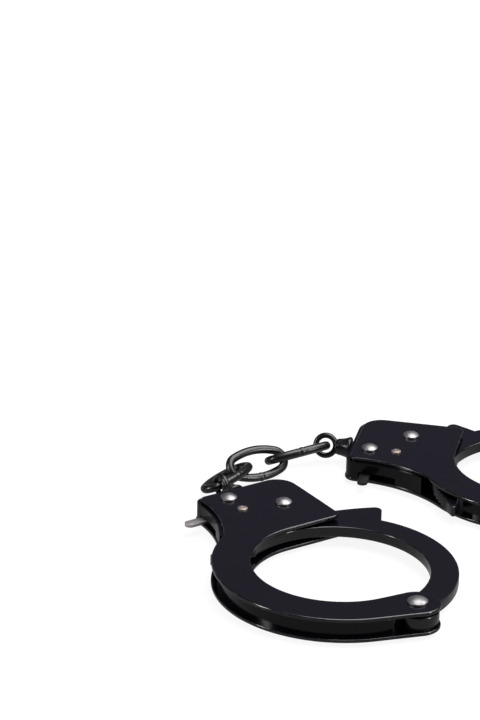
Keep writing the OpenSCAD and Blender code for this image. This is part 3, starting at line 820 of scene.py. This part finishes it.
def link_line():
    """Points along a link's middle line, their outward directions and their distance from the weld."""
    end_x = LINK_L / 2 - LINK_END_R
    bow = LINK_W / 2 - LINK_END_R
    side_r = LINK_END_R + (end_x**2 + bow**2) / (2 * bow)
    drop = Vector((0, side_r - LINK_W / 2, 0))
    end = Vector((end_x, 0, 0))
    end_turn = math.atan2(drop.y, end_x)
    arcs = [(drop, side_r, -math.pi / 2, -end_turn), (end, LINK_END_R, -end_turn, end_turn)]
    far_turn = math.pi - end_turn
    arcs += [(-drop, side_r, end_turn, far_turn), (-end, LINK_END_R, far_turn, math.pi + end_turn)]
    arcs += [(drop, side_r, math.pi + end_turn, 1.5 * math.pi)]
    total = sum(radius * (stop - start) for _, radius, start, stop in arcs)
    line = []
    gone = 0
    for centre, radius, start, stop in arcs:
        count = round(radius * (stop - start) / LINK_STEP)
        for i in range(count):
            turn = start + (stop - start) * i / count
            outward = Vector((math.cos(turn), math.sin(turn), 0))
            walked = gone + radius * (turn - start)
            line.append((centre + outward * radius, outward, min(walked, total - walked)))
        gone += radius * (stop - start)
    return line


def wire_radius(from_weld):
    """The wire's radius at a distance from the middle of the weld."""
    swell = WELD_SWELL * math.exp(-((from_weld / WELD_HALF) ** 2))
    groove = WELD_GROOVE * math.exp(-(((from_weld - WELD_HALF) / GROOVE_HALF) ** 2))
    return LINK_WIRE_R + swell - groove


print("a link's middle line has", len(link_line()), "points")

# %% [markdown]
# ## Chain links
# A link is a tube along that line. The CAD link tells where it goes: its points spread most along the
# link's length and least through its thickness, so the axes of that spread are the link's own axes.

# %% Chain links
WIRE_SIDES = 28


def link_place(node):
    """A link's centre and axes: its length, width and face directions, from the spread of its CAD mesh."""
    low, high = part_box(node)
    centre = (low + high) / 2
    points = np.array([vert.co for vert in nodes[node].data.vertices]) - np.array(centre)
    spread = np.linalg.eigh(points.T @ points)[1]
    length, face = Vector(spread[:, 2]), Vector(spread[:, 0])
    length = length if length.y > 0 else -length
    face = face if face.z > 0 else -face
    return Matrix.Translation(centre) @ Matrix((length, face.cross(length), face)).transposed().to_4x4()


for name in ("a", "mid", "b"):
    node = f"chain_link_{name}"
    bm = bmesh.new()
    edge = bm.verts.layers.float.new("edge")
    rings = []
    spokes = [2 * math.pi * j / WIRE_SIDES for j in range(WIRE_SIDES)]
    for point, outward, from_weld in link_line():
        radius = wire_radius(from_weld)
        ways = [outward * math.cos(a) + Vector((0, 0, math.sin(a))) for a in spokes]
        ring = [bm.verts.new(point + way * radius) for way in ways]
        for vert in ring:
            vert[edge] = math.exp(-((from_weld / WELD_HALF) ** 2))
        rings.append(ring)
    for one, other in zip(rings, rings[1:] + rings[:1]):
        add_band(bm, one, other)
    bm.transform(link_place(node))
    piece = stand_in(finish_mesh(bm, f"chain_link_welded_{name}"), node)
    print(piece.name, len(piece.data.polygons), "faces")

# %% [markdown]
# ## The pieces that stay as they are
# Spacer walls, lock frames, washers, sleeves and springs are plain pieces whose CAD shape is already
# right. They keep their meshes, and only get a finish.

# %% Finish the remaining CAD nodes
for name, node in nodes.items():
    if not node.hide_render:
        node.data.materials.clear()
        node.data.materials.append(finishes[slot_of[name]])
        print(name, "keeps its shape")

# %% [markdown]
# ## The table
# The set lies on a white sheet that goes on past the picture. The sheet is an ordinary matt white surface
# that takes the object's shadow. For what the camera sees, most of it is replaced by plain white, which
# keeps the background clean and the shadow faint. What the coat reflects of the sheet is dimmed, because
# the full white would turn the black walls grey.

# %% Floor
FLOOR_HALF = 4.0
FLOOR_GLOW = 0.9
FLOOR_REFLECTED = (0.42, 0.4, 0.4, 1)
SHEET_WHITE = (0.85, 0.85, 0.85, 1)
sheet = bpy.data.materials.new("white_sheet")
sheet.use_nodes = True
tree = sheet.node_tree
tree.nodes.clear()
matt = add(tree, "BsdfDiffuse", {"Color": SHEET_WHITE})
glow = add(tree, "Emission", {"Color": (1, 1, 1, 1)})
dim = add(tree, "Emission", {"Color": FLOOR_REFLECTED})
ray = add(tree, "LightPath").outputs
glow_share = maths(tree, "MULTIPLY", ray["Is Camera Ray"], FLOOR_GLOW)
lit = add(tree, "MixShader", {0: glow_share, 1: matt.outputs[0], 2: glow.outputs[0]})
seen = add(tree, "MixShader", {0: ray["Is Glossy Ray"], 1: lit.outputs[0], 2: dim.outputs[0]})
tree.links.new(seen.outputs[0], add(tree, "OutputMaterial").inputs["Surface"])
bm = bmesh.new()
bmesh.ops.create_grid(bm, x_segments=1, y_segments=1, size=FLOOR_HALF)
floor = finish_mesh(bm, "floor")
floor.data.materials.append(sheet)
print("floor is", 2 * FLOOR_HALF, "m wide")

# %% [markdown]
# ## Light
# Black gloss shows its surroundings more than its colour. A dim, slightly violet room keeps the flat tops
# dark. One softbox overhead, a little to the right, draws the broad soft highlights on the links and
# lights the sheet. Two narrow ones, low at the left and at the right, draw the thin bright lines along
# the plates' rounded edges.

# %% World and lamps
ROOM_COLOUR = (0.12, 0.112, 0.15, 1)
HORIZON_COLOUR = (0.2, 0.19, 0.22, 1)
HORIZON_HEIGHT = 0.3
world = bpy.data.worlds.new("room")
world.use_nodes = True
bpy.context.scene.world = world
tree = world.node_tree
tree.nodes.clear()
direction = add(tree, "TexCoord").outputs["Generated"]
height = add(tree, "SeparateXYZ", {"Vector": direction}).outputs["Z"]
horizon = ranged(tree, height, 0.0, HORIZON_HEIGHT, 0.0, 1.0)
room = mixed(tree, horizon, HORIZON_COLOUR, ROOM_COLOUR)
camera_ray = add(tree, "LightPath").outputs["Is Camera Ray"]
sky = add(tree, "Background", {"Color": mixed(tree, camera_ray, room, (1, 1, 1, 1))})
tree.links.new(sky.outputs[0], add(tree, "OutputWorld").inputs["Surface"])

CUFFS_MIDDLE = (cad_box[0] + cad_box[1]) / 2
LAMPS = {
    "softbox_overhead": ((0.3, 0.05, 0.92), (1.1, 1.0), 26.0),
    "strip_left": ((-0.9, -0.35, 0.35), (0.12, 0.5), 6.0),
    "strip_right": ((0.85, -0.5, 0.3), (0.12, 0.5), 5.0),
}
for name, (offset, size, watts) in LAMPS.items():
    lamp = bpy.data.lights.new(name, "AREA")
    lamp.shape = "RECTANGLE"
    lamp.size, lamp.size_y = size
    lamp.energy = watts
    holder = bpy.data.objects.new(name, lamp)
    holder.location = CUFFS_MIDDLE + Vector(offset)
    holder.rotation_euler = Vector(offset).to_track_quat("Z", "Y").to_euler()
    bpy.context.scene.collection.objects.link(holder)
    print(name, watts, "W")
